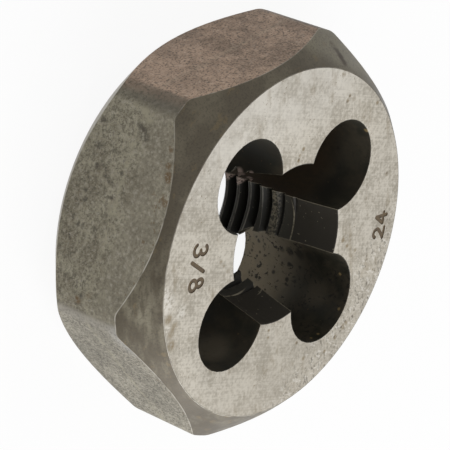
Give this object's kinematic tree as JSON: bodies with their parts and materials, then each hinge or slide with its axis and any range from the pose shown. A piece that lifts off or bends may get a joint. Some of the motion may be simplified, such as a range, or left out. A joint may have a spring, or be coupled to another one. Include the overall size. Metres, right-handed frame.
{
  "type": "hexagon threading die",
  "caption": "Hexagonal steel threading die with a tapered lead, interrupted thread and chip holes, for cutting or cleaning outside threads.",
  "frame": {"origin": "centre of the back face, on the thread axis", "axes": "+Z along the thread axis, out of the start face; +X through the middle of one wrench flat and one chip hole; +Y through one rounded corner"},
  "size_m": [0.0254, 0.0284, 0.0095],
  "materials": {
    "hardened_steel": "ground end faces, dark heat scale on the wrench flats and chamfers"
  },
  "bodies": {
    "root": {"hex_die": "hardened_steel"}
  },
  "joints": []
}
